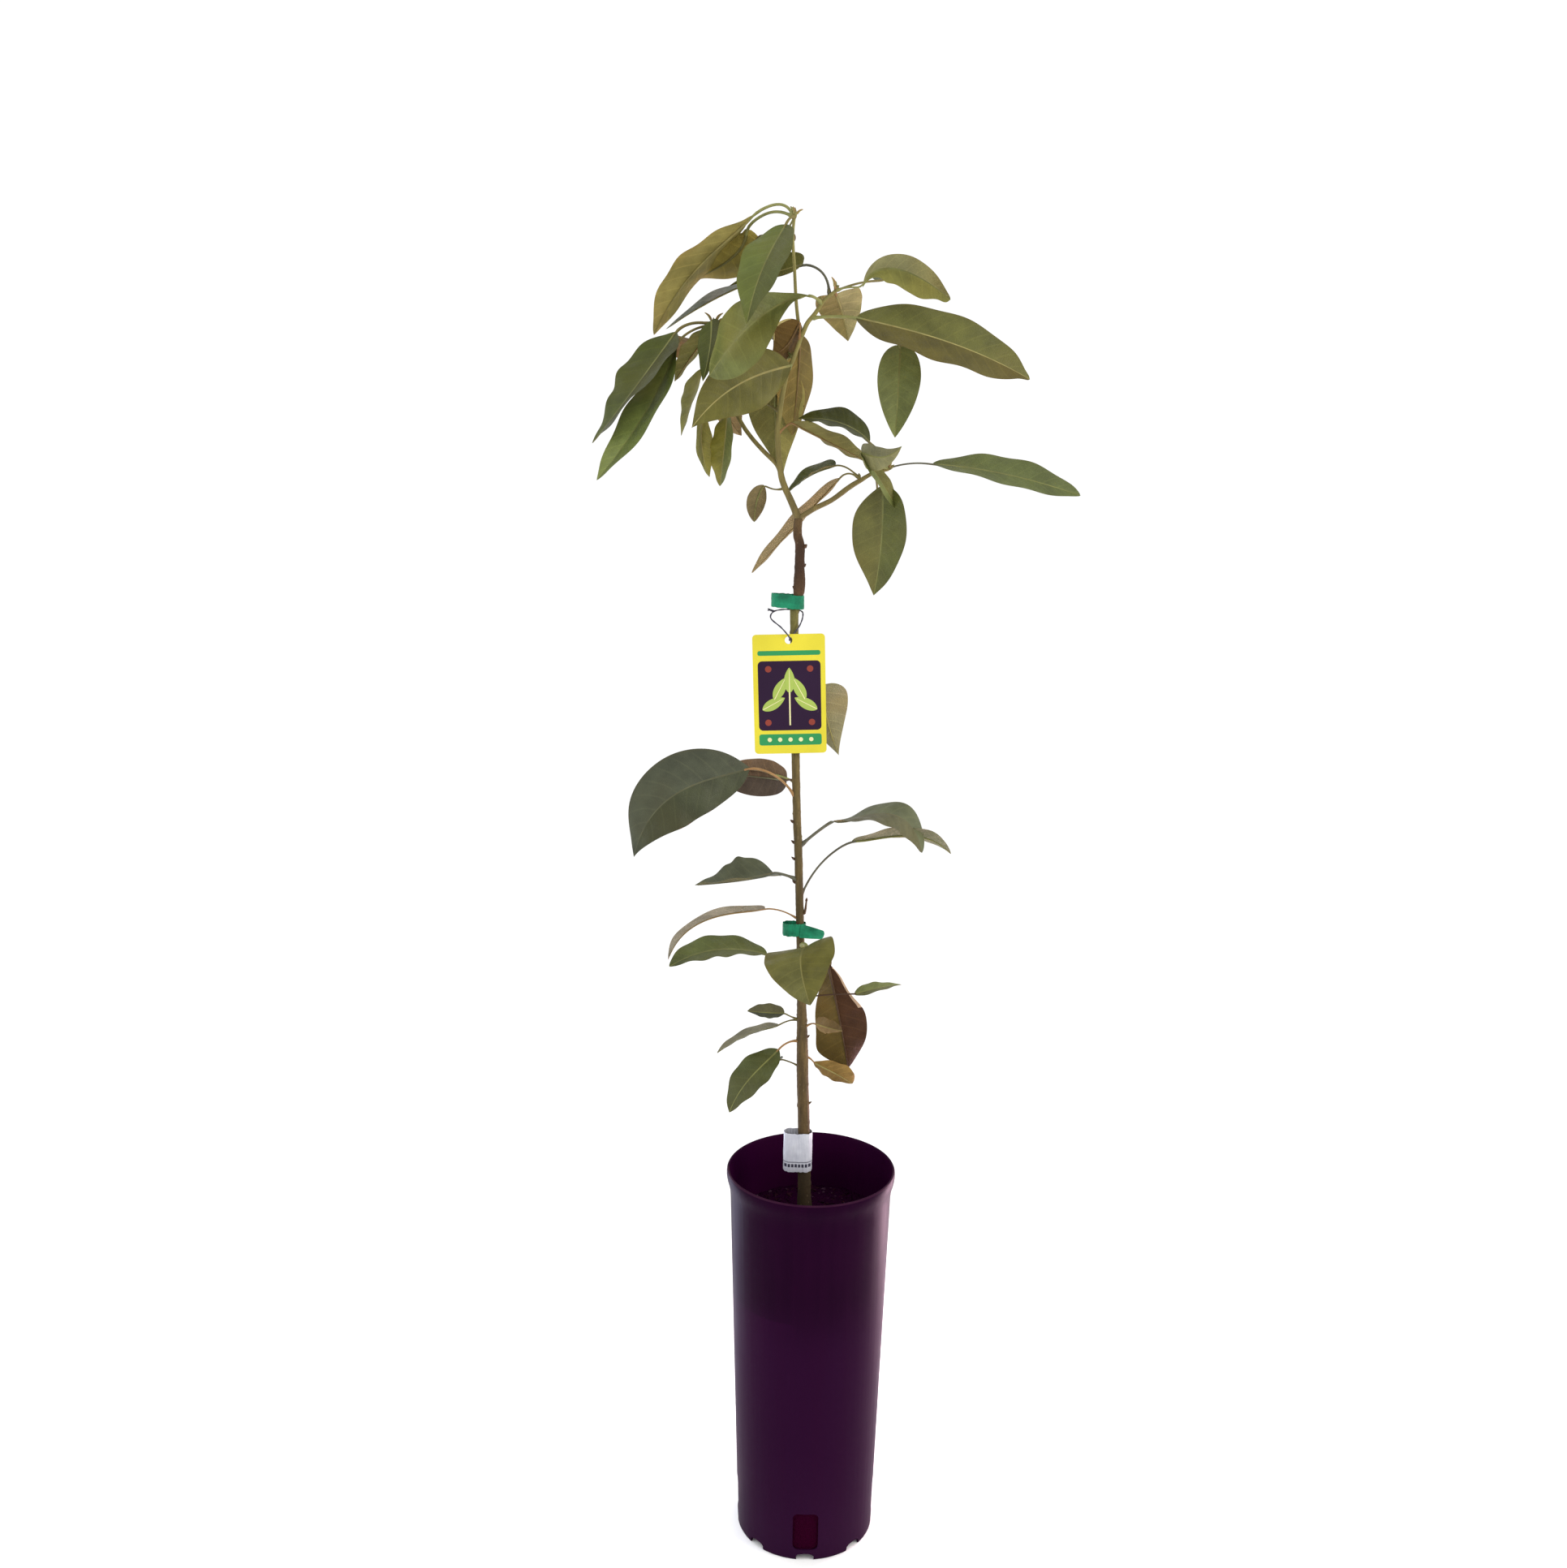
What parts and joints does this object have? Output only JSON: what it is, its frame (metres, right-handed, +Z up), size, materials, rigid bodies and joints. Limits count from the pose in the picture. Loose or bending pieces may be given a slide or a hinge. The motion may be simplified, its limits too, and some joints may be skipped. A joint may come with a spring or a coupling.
{
  "type": "potted avocado tree",
  "caption": "Young grafted avocado tree with a slender leaning stem, long drooping leaves, green ties and a hanging tag, in a tall tapered nursery pot.",
  "frame": {"origin": "centre of the pot's flat underside", "axes": "+Z up along the pot, -Y towards the front of the tree, +X to its right"},
  "size_m": [0.4979, 0.2391, 1.4825],
  "materials": {
    "pot": "semi-gloss dark maroon plastic",
    "soil": "crumbly dark potting mix",
    "bark": "olive-brown bark",
    "young_bark": "smooth green-brown young bark",
    "leaf": "leathery leaves, green above and olive-brown below",
    "tie_tape": "stretchy green tying tape",
    "tag": "printed yellow plastic card",
    "wire": "dark coated wire",
    "label": "plain pale sleeve"
  },
  "bodies": {
    "root": {"foliage_behind_tag": "leaf", "foliage_centre_brown": "leaf", "foliage_centre_front": "leaf", "foliage_far_left": "leaf", "foliage_foot_left": "leaf", "foliage_foot_right": "leaf", "foliage_fork": "leaf", "foliage_front_face": "leaf", "foliage_front_low": "leaf", "foliage_left_centre": "leaf", "foliage_left_hanging": "leaf", "foliage_left_inner": "leaf", "foliage_left_long": "leaf", "foliage_left_pair": "leaf", "foliage_left_small": "leaf", "foliage_left_thin": "leaf", "foliage_low_broad": "leaf", "foliage_low_shaded": "leaf", "foliage_rear_foot": "leaf", "foliage_rear_high": "leaf", "foliage_rear_mid": "leaf", "foliage_rear_tag": "leaf", "foliage_red_hanging": "leaf", "foliage_right_arched": "leaf", "foliage_right_bit": "leaf", "foliage_right_broad": "leaf", "foliage_right_curled": "leaf", "foliage_right_hanging": "leaf", "foliage_right_long": "leaf", "foliage_right_small": "leaf", "foliage_right_tip": "leaf", "foliage_stem_left": "leaf", "foliage_stem_right": "leaf", "foliage_top": "leaf", "foliage_top_narrow": "leaf", "foliage_upper_right": "leaf", "label": "label", "leader": "young_bark", "left_bough": "young_bark", "pot": "pot", "right_bough": "young_bark", "soil": "soil", "tag_card": "tag", "tag_wire": "wire", "tie_lower": "tie_tape", "tie_upper": "tie_tape", "top_shoot": "young_bark", "trunk": "bark", "upper_right_bough": "young_bark"}
  },
  "joints": []
}
